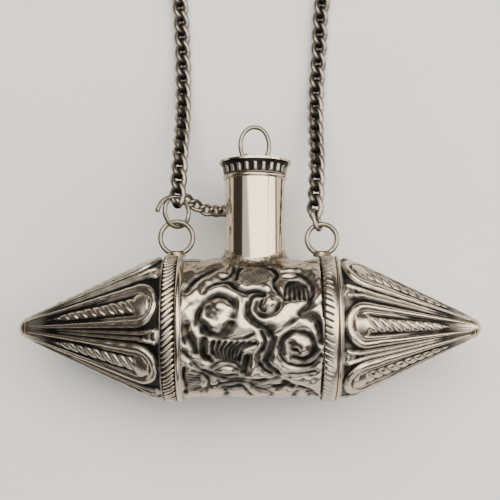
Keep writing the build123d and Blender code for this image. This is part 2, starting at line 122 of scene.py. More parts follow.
# ---- chased ornament ----
# Each line is a groove of the chasing on the unrolled drum: width, depth, then points (along the spindle,
# round the drum towards the neck), in millimetres from the middle of the front.
SCROLL_GROOVES = [
    (1, 0.5, [(-10, 0.3), (-9.7, 2.2), (-8.9, 4.2), (-7.6, 5.6), (-6, 6.1), (-4.2, 5.6), (-3.1, 4.4),
        (-2.8, 3), (-3.3, 1.7)]),
    (0.9, 0.45, [(-8, 3.4), (-7.8, 2.4), (-6.9, 1.8)]),
    (1.3, 0.55, [(-9.3, 0.2), (-8.5, -1.1), (-7.2, -2), (-5.6, -2.1), (-4.3, -1.1), (-3.6, 0.1)]),
    (0.9, 0.45, [(-12.2, 6.8), (-11.3, 8.3), (-9.8, 10.5), (-7.8, 12.4), (-5.6, 14.2)]),
    (0.7, 0.48, [(-8.7, 6.6), (-7.8, 8), (-6.3, 9), (-4.8, 9.3), (-3.8, 9.1), (-3, 8), (-2, 7.2),
        (-0.5, 6.9), (1.2, 7.1), (2.5, 6.6)]),
    (0.6, 0.4, [(-5.2, 10.2), (-3.9, 11), (-3.2, 12.5), (-3.1, 14.2)]),
    (0.6, 0.45, [(-2.6, 10), (-2.3, 12.3), (-1.7, 14.2)]),
    (0.8, 0.5, [(1.6, 15), (3.5, 14.2), (4.8, 12.6), (5.2, 11), (4.6, 9.6), (4.6, 8.2), (5.5, 6.6),
        (6.7, 5.3)]),
    (0.7, 0.5, [(-0.2, 4), (0.1, 5.3), (1, 6.1), (2.5, 6.2)]),
    (0.7, 0.4, [(5.3, 5.2), (5.4, 3.8), (4.8, 2.6), (3.4, 1.8), (1.9, 2.1), (1.1, 3.2), (1.3, 4.4)]),
    (0.5, 0.45, [(2.2, 4.8), (1.8, 3.9), (2.1, 3), (2.7, 2.7)]),
    (0.9, 0.55, [(-0.4, 4.4), (-0.5, 2.6), (0.2, 1.2), (1.3, 0.1), (2.7, -0.6), (3.7, -1.5)]),
    (0.9, 0.5, [(9.2, 11.9), (10.8, 10.2), (11.8, 8.2), (11.7, 6.2), (11.3, 4.9)]),
    (0.5, 0.3, [(6.2, 10.4), (7.5, 10.4), (8.9, 10.7)]),
    (0.5, 0.3, [(6, 11.9), (7.6, 12), (8.9, 12.2)]),
    (1.1, 0.5, [(11.2, 4.4), (10.3, 3.1), (9.4, 2), (11, 1.9), (12.4, 0.7), (13, -1.2), (13.3, -3.4)]),
    (0.5, 0.4, [(8.9, 1.4), (7.4, 0.1), (6, -1), (4.3, -2)]),
    (0.9, 0.5, [(5.6, -5.2), (5.9, -3.4), (7.1, -2), (9, -1.4), (11, -2.1), (12, -4), (11.6, -6),
        (10, -6.9), (8.2, -6.6)]),
    (0.8, 0.45, [(7.6, -3.7), (7.9, -4.7), (8.8, -5.2)]),
    (1.2, 0.5, [(-12.1, -0.4), (-11.7, -2.4), (-10.7, -4), (-10.3, -5.6)]),
    (0.8, 0.42, [(-13.6, -4.2), (-12.4, -5.6), (-11.2, -7.1), (-9.6, -9), (-8, -10.1), (-6, -11.3),
        (-4, -11.9), (-1.5, -11.9), (1.4, -12.3), (3.9, -12), (5.4, -11.2)]),
    (1.1, 0.5, [(-8.5, -3), (-9, -4.6), (-8.7, -6.3), (-7.5, -7.5)]),
    (0.5, 0.4, [(-5.3, -2.7), (-3, -2.9), (-1, -2.7), (0.4, -2)]),
    (1, 0.52, [(-0.5, -6.4), (-0.9, -8.2), (-1.2, -10)]),
    (0.7, 0.48, [(2.1, -1.3), (2.8, -3.3), (2.2, -5), (1.4, -6.2), (1.7, -7.7), (2.9, -9.5), (3.9, -10.3)]),
    (1.1, 0.55, [(3, -0.8), (4.1, -2.6), (4, -4.4), (3.4, -6), (2.9, -7.2), (3.8, -8.8), (5.2, -10.2)]),
    (0.6, 0.45, [(5.2, -4.4), (5.7, -6.2), (7, -7.9), (9, -8.6), (11, -8.4), (12.6, -7.1), (13.5, -6)]),
    (0.5, 0.4, [(12.3, -9.8), (9.2, -10.4), (6.3, -10.2)]),
    (0.5, 0.4, [(-7.4, -8.8), (-5.8, -7.7), (-3.8, -7.6), (-2.2, -8.4), (-1.5, -9.8)]),
    (0.4, 0.3, [(-6.6, -9.5), (-5.1, -8.6), (-3.5, -8.7), (-2.2, -9.6)]),
    (0.6, 0.4, [(-6.2, -10.3), (-4.5, -10.9), (-2.6, -10.7)]),
    (0.7, 0.45, [(-9.6, -16.6), (-7.6, -14.6), (-5.2, -13.3), (-2.4, -12.7), (0.3, -13.1)]),
    (1.2, 0.5, [(4.8, -14.6), (6.2, -14.1), (8, -14.2), (6.6, -12.9)]),
    (0.6, 0.45, [(0, -13.2), (1.4, -15), (2.9, -15.7), (4.2, -17.4), (4, -20)]),
    (0.6, 0.42, [(-1.4, -14.3), (-0.6, -16.2), (0.2, -18.6)]),
    (1.2, 0.5, [(-4.9, -14.8), (-3.3, -14.5), (-1.9, -14.2)]),
    (0.9, 0.48, [(-4.8, -15), (-4.5, -17.2), (-4.7, -20)]),
    (0.8, 0.48, [(-12.4, -8.8), (-12.7, -11), (-12.2, -14), (-12.5, -17.5)]),
    (0.6, 0.42, [(-11, -9.6), (-9, -10.6), (-8, -11.7), (-7.8, -13), (-7.9, -14.4), (-8.4, -16.4)]),
    (0.5, 0.38, [(-6.2, -12.3), (-5.8, -13.4), (-6.5, -14.5)]),
    (0.8, 0.48, [(9.1, -16), (8.5, -17.9), (8.6, -20.2)]),
    (0.8, 0.48, [(9.4, -14.6), (11.2, -15.4), (12.4, -17.6), (13.2, -20)]),
    (0.7, 0.42, [(11, -16.4), (11.6, -18.4), (11.4, -20.4)]),
    (0.5, 0.4, [(-13, 2), (-12.8, -1), (-12.2, -3.9)]),
]
# fans of ribs: number, width, depth, then the fan's two sides, each (start, middle, end)
RIB_FANS = [
    (8, 0.46, 0.5, [(-6.9, -3.3), (-7.1, -5.2), (-6.3, -6.9)], [(1, -3.7), (-1.5, -5), (-2.2, -7.4)]),
    (6, 0.5, 0.54, [(7.5, 9.4), (6.7, 7.6), (6.5, 5)], [(9, 9.6), (10.8, 7.6), (11.2, 5.2)]),
    (9, 0.26, 0.26, [(-1.6, 11.4), (-1.2, 9.8), (-0.6, 8.4)], [(2.4, 14), (3.4, 12.2), (4.2, 10.6)]),
    (8, 0.42, 0.36, [(-11.9, -10.6), (-10.8, -10.9), (-9.6, -11)], [(-12, -15.8), (-10.8, -16.2),
        (-9.4, -16)]),
    (4, 0.4, 0.3, [(0.6, -13.2), (2.2, -14), (4, -13.6)], [(0.2, -14.4), (1.6, -16.2), (3.2, -17.4)]),
]
# domes: middle, half sizes, height
DOMES = [
    (-5.5, 3.8, 1.4, 1.3, 0.3), (3.5, 4.6, 1.2, 1.2, 0.28), (9.7, -4, 1.3, 1.3, 0.28),
    (-4.6, -9.6, 2, 1, 0.18), (-6.8, -13.2, 0.9, 1.2, 0.2), (6.6, -16.6, 2.2, 2.2, 0.22),
    (7.6, 11.2, 1.4, 0.7, 0.18),
]
# lines that fill the stretches between the front's ornament and its repeat behind
FILLING_GROOVES = [
    (0.9, 0.48, [(-12.6, -22), (-9.5, -20.6), (-6.5, -22.4), (-3.5, -20.8), (-0.5, -22.4), (2.5, -20.8),
        (5.5, -22.4), (8.5, -20.8), (11, -22.2), (13.2, -21.2)]),
    (0.8, 0.45, [(-12.6, -24.6), (-9.5, -23.4), (-6.5, -25), (-3.5, -23.4), (-0.5, -25), (2.5, -23.4),
        (5.5, -25), (8.5, -23.4), (11, -25), (13.2, -23.8)]),
    (0.8, 0.45, [(-12.4, 17), (-10, 18), (-8.8, 20.4), (-10.4, 22.4), (-12.4, 21.4)]),
    (0.8, 0.45, [(12.8, 16.6), (11, 18), (10.2, 20.4), (11.4, 22.4), (13, 22)]),
]
# the ornament repeats behind, turned half round: a point goes to these sums less its own place
BACK_SHIFT, BACK_TURN = 0.5, 41.2
LAND_HEIGHT = 0.36
GROOVE_SOFTNESS = 0.58
CROWN_HEIGHT, CROWN_SOFTNESS, CROWN_REACH = 0.34, 1.25, 2.2  # the slower swell of the lands
LEFT_EDGE, RIGHT_EDGE = (-13.3, -12.7), (13.3, 13.9)  # where the chasing starts and stops along the drum
NECK_MARGIN = (6.6, 7.9)  # the plain ring round the neck
DARK_HEIGHT, BRIGHT_HEIGHT = -0.42, 0.16  # the drum is darkened below the one and rubbed bright above the other: tarnish in the hollows, and painted shade on the lands' lower slopes in place of their shading
FRONT_ARC = (-108, 72)  # degrees; this side is seen, and gets the finer points
BACK_COARSENESS = 1.9


# ---- colours and light ----
NECK_SILVER = (0.52, 0.44, 0.33, 1)
SOLDER, DULL_SOLDER = (0.50, 0.41, 0.28, 1), (0.15, 0.125, 0.095, 1)
ROOM_LIGHT = (0.085, 0.078, 0.070, 1)
# name, place, aim, size, power, colour
SOFTBOXES = [
    ("window", (0.09, 0.12, 0.44), (0.03, 0, 0), (0.80, 0.34), 3.9, (1.0, 0.91, 0.78)),
    ("sky", (0.10, 0.10, 0.60), (0.03, 0, 0), (1.5, 1.1), 6.0, (0.92, 0.96, 1.0)),
    ("side", (0.75, 0.10, 0.30), (0, 0, 0), (0.40, 0.40), 2.5, (1.0, 0.90, 0.80)),
    ("fill", (0.10, -0.50, 0.26), (0, 0, 0), (0.50, 0.22), 0.8, (0.95, 0.96, 1.0)),
]
FLOOR_HALF = 1.2
VIEW_TILT, VIEW_DISTANCE, VIEW_RISE = 6.7, 0.230, 15.6  # degrees, metres, millimetres towards the neck
# the slots of the pieces that keep their CAD shape
CAD_FINISHES = {
    "chased_silver": ("left_tip", "right_tip"),
    "hatch_ground": ("left_collar_band",),
    "plain_silver": ("left_collar_wire", "right_collar_wire", "neck_bead", "stopper_plate"),
    "polished_silver": ("neck_tube",),
    "solder": ("neck_solder", "left_saddle", "right_saddle"),
    "cork": ("stopper_plug",),
    "silver_wire": ("stopper_staple", "left_ring", "right_ring"),
    "chain_silver": ("right_end_link",),
}


# ---- chased relief ----
def smooth_line(points, steps=8):
    """Catmull-Rom line through a few points."""
    pts = np.array(points, float)
    padded = np.vstack([2 * pts[0] - pts[1], pts, 2 * pts[-1] - pts[-2]])
    share = np.linspace(0, 1, steps, endpoint=False)[:, None]
    spans = []
    for a, b, c, d in zip(padded, padded[1:], padded[2:], padded[3:]):
        spans.append(
            0.5 * (2 * b + (c - a) * share + (2 * a - 5 * b + 4 * c - d) * share**2
                   + (3 * b - 3 * c + d - a) * share**3)
        )
    return np.vstack(spans + [pts[-1:]])


def line_distance(along, across, line):
    """Distance of each grid point from a polyline."""
    nearest = np.full(along.shape, np.inf)
    for (ax, ay), (bx, by) in zip(line, line[1:]):
        dx, dy = bx - ax, by - ay
        share = np.clip(((along - ax) * dx + (across - ay) * dy) / (dx * dx + dy * dy + 1e-12), 0, 1)
        nearest = np.minimum(nearest, (along - ax - share * dx) ** 2 + (across - ay - share * dy) ** 2)
    return np.sqrt(nearest)


def cut_groove(height, nearest, stations, arcs, groove):
    """Lowers a height field along one groove, and keeps each point's way to its nearest groove."""
    width, depth, points = groove
    line = smooth_line(points)
    reach = width / 2 + CROWN_REACH * CROWN_SOFTNESS
    rows = np.where((stations > line[:, 0].min() - reach) & (stations < line[:, 0].max() + reach))[0]
    cols = np.where((arcs > line[:, 1].min() - reach) & (arcs < line[:, 1].max() + reach))[0]
    if not len(rows) or not len(cols):
        return
    window = np.ix_(rows, cols)
    along, across = np.meshgrid(stations[rows], arcs[cols], indexing="ij")
    away = np.maximum(line_distance(along, across, line) - width / 6, 0)  # the middle third is flat
    rise = 1 - np.exp(-((away / (GROOVE_SOFTNESS * width**0.8)) ** 1.5))
    profile = -depth + (depth + LAND_HEIGHT - CROWN_HEIGHT) * rise
    height[window] = np.minimum(height[window], profile)
    nearest[window] = np.minimum(nearest[window], away)


def fan_lines(fan):
    """The grooves between a fan's ribs."""
    count, width, depth, first, last = fan
    first, last = np.array(first), np.array(last)
    for number in range(count):
        share = number / (count - 1)
        yield width, depth, list(map(tuple, first * (1 - share) + last * share))


def turned_back(groove):
    """The same groove on the back of the drum."""
    width, depth, points = groove
    return width, depth, [(BACK_SHIFT - x, BACK_TURN - arc) for x, arc in points]


def soften(field, passes=1):
    """Light blur of a height field, which leaves no sharp steps."""
    for _ in range(passes):
        padded = np.pad(field, ((1, 1), (1, 1)), mode="edge")
        field = (
            4 * field + padded[:-2, 1:-1] + padded[2:, 1:-1] + padded[1:-1, :-2] + padded[1:-1, 2:]
        ) / 8
    return field


def full_circle(count):
    return np.linspace(-math.pi, math.pi, count, endpoint=False)


def lots(turn, count, slant=0.0):
    """Which of the pieces round a circle each point lies in, and its place in it, from -0.5 to 0.5."""
    place = (turn + math.pi) / FULL_TURN * count + slant
    return np.floor(place).astype(int) % count, place % 1 - 0.5


def smooth_step(low, high, value):
    """0 up to low, 1 from high, with a soft rise between them."""
    share = np.clip((value - low) / (high - low), 0, 1)
    return share * share * (3 - 2 * share)


def hand_unevenness(along, across, turn, seed=4, waves=36, depth=0.016):
    """Slight waviness of hand-worked sheet; it closes on itself round the spindle."""
    chance = np.random.default_rng(seed)
    field = np.zeros(along.shape)
    for _ in range(waves):
        lengthwise = chance.normal(0, 1.5)
        around = round(chance.normal(0, 1.5) * turn / FULL_TURN) * FULL_TURN / turn
        field += np.sin(lengthwise * along + around * across + chance.uniform(0, FULL_TURN))
    return field * depth


def drum_relief(stations, angles):
    """Height of the chasing over the drum's sheet, in millimetres."""
    arcs = angles * (DRUM_RADIUS + LAND_HEIGHT)
    height = np.full((len(stations), len(arcs)), LAND_HEIGHT - CROWN_HEIGHT)
    nearest = np.full(height.shape, 3 * CROWN_SOFTNESS)
    grooves = SCROLL_GROOVES + [line for fan in RIB_FANS for line in fan_lines(fan)]
    turn = FULL_TURN * (DRUM_RADIUS + LAND_HEIGHT)
    for width, depth, points in grooves + FILLING_GROOVES + [turned_back(g) for g in grooves]:
        for shift in (-turn, 0, turn):
            shifted = [(x, arc + shift) for x, arc in points]
            cut_groove(height, nearest, stations, arcs, (width, depth, shifted))
    height += CROWN_HEIGHT * soften(1 - np.exp(-((nearest / CROWN_SOFTNESS) ** 2)), 24)
    along, across = np.meshgrid(stations, arcs, indexing="ij")
    for x, arc, half_x, half_arc, lift in DOMES:
        back = BACK_SHIFT - x, BACK_TURN - arc
        for cx, ca in ((x, arc), back, (back[0], back[1] - turn)):
            inside = 1 - ((along - cx) / half_x) ** 2 - ((across - ca) / half_arc) ** 2
            height += lift * np.clip(inside, 0, 1) ** 0.8
    height = soften(height, 2) + hand_unevenness(along, across, turn)
    border = smooth_step(*LEFT_EDGE, along) * (1 - smooth_step(*RIGHT_EDGE, along))
    from_neck = np.hypot(along - NECK_X, DRUM_RADIUS * np.cos(angles)[None, :])
    near_neck = np.where(np.sin(angles)[None, :] > 0, smooth_step(*NECK_MARGIN, from_neck), 1)
    return height * border * near_neck


# ---- cones ----
# the middle of each panel, in degrees round the spindle from the front towards the neck
LEFT_PANELS = (18.0, -38.0, -98.0, -158.0, 142.0, 80.0)
RIGHT_PANELS = (0.0, -55.0, -117.0, -178.0, 121.0, 58.0)
PANEL_HALF = 17.0
ARCH_FOOT, ARCH_SPRING = 1.3, 5.0
RIB_START, RIB_END, SLASH_PITCH = 4.0, 20.5, 1.75
CONE_GROUND = -0.34  # height of the ground that the panels rise from
OUTLINE_HEIGHT, OUTLINE_WIDTH = 0.84, 1.75
INNER_LINE_HEIGHT, INNER_LINE_WIDTH, INNER_LINE_AT = 0.50, 0.8, 0.66
RIB_HEIGHT, RIB_HALF, BULB_HALF = 0.80, 1.5, 1.25
SLASH_DEPTH, SLASH_WIDTH = 0.55, 0.36
TWIN_HEIGHT, TWIN_WIDTH, TWIN_APART = 0.64, 0.85, 2.6  # the last is in degrees
LEAF_HEIGHT, LEAF_LENGTH, LEAF_RIB_PITCH = 0.62, 4.6, 1.15
FOOT_RADIUS, SHOULDER_RADIUS, SHOULDER_AT = 13.7, 12.9, 3.6  # the cone swells a little up to its shoulder
TIP_RADIUS, TIP_BORE = 2.0, 1.3
LEFT_PAINTED_SHADE, RIGHT_PAINTED_SHADE = 0.17, 0.04  # painted shade added evenly to each cone's tarnish, much more on the left cone, which is painted darker


def cone_scale(radius):
    """How large the ornament is drawn at each radius: full from 12 mm, and smaller towards the tip."""
    return np.clip(radius / 12, 0.18, 1)


def rounded(distance, width):
    """Half-round cross section, 1 in the middle and 0 from half the width outwards."""
    return np.sqrt(np.clip(1 - (2 * distance / width) ** 2, 0, 1))


def cone_relief(reach, radius, angles, panels, side):
    """Height of the chasing over a cone: pointed panels, each with an outline and a slashed rib."""
    degrees = np.degrees(angles)
    offsets = np.array([(degrees - middle_angle + 180) % 360 - 180 for middle_angle in panels])
    nearest = np.argmin(np.abs(offsets), axis=0)
    offset = np.take_along_axis(offsets, nearest[None, :], axis=0)[0]
    gap = np.sort(np.abs(offsets), axis=0)
    between = (gap[1] - gap[0]) / 2  # degrees from the line midway between two panels
    down, aside = np.meshgrid(reach, offset, indexing="ij")
    around = np.repeat(radius[:, None], len(angles), axis=1)
    midway = np.repeat(between[None, :], len(reach), axis=0)
    scale = cone_scale(around)
    swing = around * np.radians(aside)
    # the panel's outline: an arch at the collar that narrows to the tip, and a fainter line inside it
    dip = np.clip((ARCH_SPRING - down) / (ARCH_SPRING - ARCH_FOOT), 0, None)
    arch = np.hypot(aside / PANEL_HALF, dip)
    half_panel = math.radians(PANEL_HALF) * around
    outline = OUTLINE_HEIGHT * scale * rounded((arch - 1) * half_panel, OUTLINE_WIDTH * scale)
    inner_line = INNER_LINE_HEIGHT * smooth_step(15, 8, down)
    inner_line = inner_line * rounded((arch - INNER_LINE_AT) * half_panel, INNER_LINE_WIDTH * scale)
    # central rib with its bulb and slashes
    bulb = BULB_HALF * np.exp(-(((down - RIB_START) / 1.3) ** 2))
    half_rib = (RIB_HALF * scale + bulb * 0.7) * smooth_step(RIB_END + 1.5, RIB_END - 2, down) + 0.02
    rib = np.sqrt(np.clip(1 - (swing / half_rib) ** 2, 0, 1)) * (down > RIB_START - 1.6)
    phase = (down - RIB_START - 1.2 + 0.75 * side * swing) / SLASH_PITCH
    slash = np.abs((phase % 1) - 0.5) * 2
    cut = np.exp(-((slash / SLASH_WIDTH) ** 2)) * smooth_step(RIB_START + 0.8, RIB_START + 1.4, down)
    # two thin ridges between the panels, spread into a ribbed leaf at the collar
    spread = TWIN_APART + 3.0 * np.clip(1 - down / 4.5, 0, 1)
    twin = TWIN_HEIGHT * rounded(around * np.radians(np.abs(midway) - spread), TWIN_WIDTH * scale)
    twin = twin * smooth_step(0.6, 1.2, down) * smooth_step(24, 13, down)
    leaf = smooth_step(LEAF_LENGTH, 0.4, down) * np.clip(1 - midway / (spread + 0.2), 0, 1) ** 0.5
    ribs = 0.5 + 0.5 * np.cos(FULL_TURN * (down + 0.35 * around * np.radians(midway)) / LEAF_RIB_PITCH)
    rib *= RIB_HEIGHT - SLASH_DEPTH * cut
    layers = [inner_line, rib, twin, LEAF_HEIGHT * leaf * (0.45 + 0.55 * ribs)]
    height = np.maximum(CONE_GROUND * scale + outline, (CONE_GROUND + np.max(layers, axis=0)) * scale)
    fade = smooth_step(0.0, 0.7, down)
    closes = smooth_step(178, 160, np.abs(degrees))[None, :]  # no waviness where the two edges meet
    wavy = hand_unevenness(down, around * np.radians(degrees)[None, :], 1e9, seed=6 + side, depth=0.010)
    return soften(height * fade) + wavy * scale * fade * closes


def patina_and_shade_of(height, low, high):
    """How dark each point is made: hollows hold tarnish, lower slopes get painted shade, and high lands are
    rubbed bright.
    """
    hollow = np.clip((soften(height, 14) - height) * 3.0, 0, 1)
    depth = 1 - smooth_step(low, high, height)
    return np.clip(0.80 * depth + 0.40 * hollow, 0, 1)


# ---- closed shells ----
def round_skin(stations, radii, angles):
    """Points of a skin round the spindle, row after row."""
    x = np.repeat(stations[:, None], len(angles), axis=1)
    y = AXIS_Y + radii * np.sin(angles)[None, :]
    z = AXIS_Z + radii * np.cos(angles)[None, :]
    return np.stack([x, y, z], axis=-1).reshape(-1, 3)


def round_quads(rows, cols, start, flip):
    """Faces of a skin that closes round the spindle."""
    i, j = np.meshgrid(np.arange(rows - 1), np.arange(cols), indexing="ij")
    a = start + i * cols + j
    b = start + i * cols + (j + 1) % cols
    c, d = b + cols, a + cols
    order = (a, d, c, b) if flip else (a, b, c, d)
    return np.stack(order, axis=-1).reshape(-1, 4)


def open_hole(points, quads, hole):
    """Drops the faces over a round hole towards the neck, and sets the rest's edge on its circle."""
    hole_x, hole_radius = hole
    centre = points[quads].mean(axis=1)
    away = np.hypot(centre[:, 0] - hole_x, centre[:, 2] - AXIS_Z)
    inside = (away < hole_radius) & (centre[:, 1] > AXIS_Y)
    dropped, stays = set(quads[inside].ravel()), quads[~inside]
    rim = np.array(sorted(dropped & set(stays.ravel())))
    flat = points[rim][:, [0, 2]] - [hole_x, AXIS_Z]
    flat *= (hole_radius / np.linalg.norm(flat, axis=1))[:, None]
    radius = np.hypot(points[rim][:, 1] - AXIS_Y, points[rim][:, 2] - AXIS_Z)
    points[rim, 0] = hole_x + flat[:, 0]
    points[rim, 2] = AXIS_Z + flat[:, 1]
    points[rim, 1] = AXIS_Y + np.sqrt(radius**2 - flat[:, 1] ** 2)
    return stays, set(int(v) for v in rim)


def relief_shell(name, outer, inner, tarnish_and_shade, hole=None, upright=False):
    """Closed shell round the spindle, or upright round the neck: outer skin and inner wall, joined."""
    stations, angles, radii = outer
    inner_stations, inner_radii = inner
    inner_angles = full_circle(120)
    inner_radii = np.repeat(inner_radii[:, None], len(inner_angles), axis=1)
    skin = round_skin(stations, radii, angles)
    points = np.vstack([skin, round_skin(inner_stations, inner_radii, inner_angles)])
    faces = [round_quads(*radii.shape, 0, True), round_quads(*inner_radii.shape, len(skin), False)]
    if hole:
        (outside, outer_rim), (inside, inner_rim) = [open_hole(points, quads, hole) for quads in faces]
        faces = [outside, inside]
    mesh = bpy.data.meshes.new(name)
    mesh.from_pydata((points * MM).tolist(), [], np.vstack(faces).tolist())
    bm = bmesh.new()
    bm.from_mesh(mesh)
    bounds = [e for e in bm.edges if e.is_boundary]

    def at_station(edge, outside, station):
        return all(
            (v.index < len(skin)) == outside and abs(v.co.x - station * MM) < 1e-7 for v in edge.verts
        )

    for end in (0, -1):
        ring = [
            e for e in bounds
            if at_station(e, True, stations[end]) or at_station(e, False, inner_stations[end])
        ]
        bmesh.ops.bridge_loops(bm, edges=ring)
    if hole:
        ring = [e for e in bounds if all(v.index in outer_rim or v.index in inner_rim for v in e.verts)]
        bmesh.ops.bridge_loops(bm, edges=ring)
    loose = [v for v in bm.verts if not v.link_faces]
    keep = np.array([bool(v.link_faces) for v in bm.verts])
    bmesh.ops.delete(bm, geom=loose, context="VERTS")
    bmesh.ops.recalc_face_normals(bm, faces=bm.faces)
    for face in bm.faces:
        face.smooth = True
    bm.to_mesh(mesh)
    bm.free()
    if upright:
        quarter_turn = Matrix.Rotation(math.pi / 2, 4, "Z")
        to_neck = Matrix.Translation((NECK.x, 0, 0))
        mesh.transform(to_neck @ quarter_turn @ Matrix.Translation((0, -AXIS.y, 0)))
    # darkness per point, tarnish and painted shade: the outer skin's own, and full darkness on the inner
    # wall
    values = np.concatenate([tarnish_and_shade.ravel(), np.ones(inner_radii.size)])[keep]
    mesh.attributes.new("tarnish_and_shade", "FLOAT", "POINT").data.foreach_set("value", values.astype(np.float32))
    return bpy.data.objects.new(name, mesh)


# ---- node trees ----
def sum_node(operation):
    """Method of a net that adds one node of arithmetic."""
    return lambda net, *values: net.put("ShaderNodeMath", dict(enumerate(values)), operation=operation)


class Net:
    """A node tree that is being wired, with short ways to add its nodes."""

    def __init__(self, tree):
        self.tree = tree

    def feed(self, socket, value):
        """Gives an input a value, or a link where the value is a socket."""
        if isinstance(value, bpy.types.NodeSocket):
            self.tree.links.new(value, socket)
        else:
            socket.default_value = value

    def node(self, kind, inputs=None, **settings):
        """Adds a node with its settings and inputs."""
        made = self.tree.nodes.new(kind)
        for key, value in settings.items():
            setattr(made, key, value)
        for key, value in (inputs or {}).items():
            self.feed(made.inputs[key], value)
        return made

    def put(self, kind, inputs=None, **settings):
        """First output of a new node."""
        return self.node(kind, inputs, **settings).outputs[0]

    add, less, times, over = map(sum_node, ("ADD", "SUBTRACT", "MULTIPLY", "DIVIDE"))
    times_add, larger, power = map(sum_node, ("MULTIPLY_ADD", "MAXIMUM", "POWER"))
    sine, cosine, unsigned = map(sum_node, ("SINE", "COSINE", "ABSOLUTE"))

    def vector(self, x, y, z):
        return self.put("ShaderNodeCombineXYZ", {0: x, 1: y, 2: z})

    def vector_sum(self, first, second):
        return self.put("ShaderNodeVectorMath", {0: first, 1: second}, operation="ADD")

    def scaled(self, vector, factor):
        return self.put("ShaderNodeVectorMath", {0: vector, "Scale": factor}, operation="SCALE")

    def chance(self, seed):
        """Random number from 0 to 1 for each point."""
        return self.node("FunctionNodeRandomValue", {"Seed": seed}, data_type="FLOAT").outputs[1]

    def mix(self, factor, first, second):
        """One colour turned into another."""
        return self.node("ShaderNodeMix", {0: factor, 6: first, 7: second}, data_type="RGBA").outputs[2]

    def noise(self, place, scale, detail):
        return self.put("ShaderNodeTexNoise", {"Vector": place, "Scale": scale, "Detail": detail})

    def position_parts(self):
        return self.node("ShaderNodeSeparateXYZ", {0: self.put("GeometryNodeInputPosition")}).outputs

    def place(self):
        return self.node("ShaderNodeTexCoord").outputs["Object"]

    def facing(self, primary, primary_axis, secondary, secondary_axis):
        """Rotation that turns one axis along a vector and a second one towards another."""
        return self.put(
            "FunctionNodeAxesToRotation",
            {"Primary Axis": primary, "Secondary Axis": secondary},
            primary_axis=primary_axis, secondary_axis=secondary_axis,
        )

    def spread_out(self, points, piece, turn, size=(1.0, 1.0, 1.0)):
        """Real copies of a piece on points."""
        copies = self.put(
            "GeometryNodeInstanceOnPoints",
            {"Points": points, "Instance": piece, "Rotation": turn, "Scale": size},
        )
        return self.put("GeometryNodeRealizeInstances", {"Geometry": copies})

    def moved(self, geometry, place):
        return self.put("GeometryNodeSetPosition", {"Geometry": geometry, "Position": place})

    def finish_with(self, geometry, finish, result):
        """Shades the geometry smooth, gives it its finish and puts it out."""
        smooth = self.put("GeometryNodeSetShadeSmooth", {"Geometry": geometry})
        done = self.put("GeometryNodeSetMaterial", {"Geometry": smooth, "Material": finish})
        self.feed(result["Geometry"], done)


def new_net(name, kind, inputs, outputs):
    """Node group with named inputs and outputs: its net, and the sockets at its two ends."""
    tree = bpy.data.node_groups.new(name, kind)
    for label, socket, value in inputs:
        made = tree.interface.new_socket(label, in_out="INPUT", socket_type="NodeSocket" + socket)
        if value is not None:
            made.default_value = value
    for label, socket in outputs:
        tree.interface.new_socket(label, in_out="OUTPUT", socket_type="NodeSocket" + socket)
    return Net(tree), tree.nodes.new("NodeGroupInput").outputs, tree.nodes.new("NodeGroupOutput").inputs


def beaded_ring_tree():
    """Beads set slantwise round the spindle, worn flat where they would pass the table."""
    net, given, result = new_net(
        "beaded_ring",
        "GeometryNodeTree",
        [
            ("Geometry", "Geometry", None), ("Count", "Int", 60), ("Centre", "Vector", None),
            ("Radius", "Float", 0.0143), ("Bead", "Vector", None), ("Slant", "Float", 0.7),
            ("Unevenness", "Float", 0.1), ("Lowest", "Float", 0.0), ("Seed", "Int", 3),
            ("Finish", "Material", None),
        ],
        [("Geometry", "Geometry")],
    )
    index = net.put("GeometryNodeInputIndex")

    def uneven(seed, spread):
        chance = net.chance(net.add(given["Seed"], seed))
        return net.times(net.times(net.less(chance, 0.5), given["Unevenness"]), spread)

    angle = net.times(net.add(index, uneven(0, 1.0)), net.over(FULL_TURN, given["Count"]))
    sine, cosine = net.sine(angle), net.cosine(angle)
    radial = net.vector(0.0, sine, cosine)
    slant = net.add(given["Slant"], uneven(1, 0.5))
    lean = net.sine(slant)
    along = net.vector(net.cosine(slant), net.times(cosine, lean), net.times(net.times(sine, -1.0), lean))
    line = net.put("GeometryNodeMeshLine", {"Count": given["Count"]})
    points = net.moved(line, net.vector_sum(given["Centre"], net.scaled(radial, given["Radius"])))
    bead = net.put("GeometryNodeMeshUVSphere", {"Segments": 10, "Rings": 7, "Radius": 0.5})
    size = net.scaled(given["Bead"], net.add(1.0, uneven(2, 0.6)))
    beads = net.spread_out(points, bead, net.facing(radial, "Z", along, "X"), size)
    parts = net.position_parts()
    height = net.larger(parts[2], given["Lowest"])
    worn = net.vector(parts[0], parts[1], height)
    net.finish_with(net.moved(beads, worn), given["Finish"], result)
    return net.tree


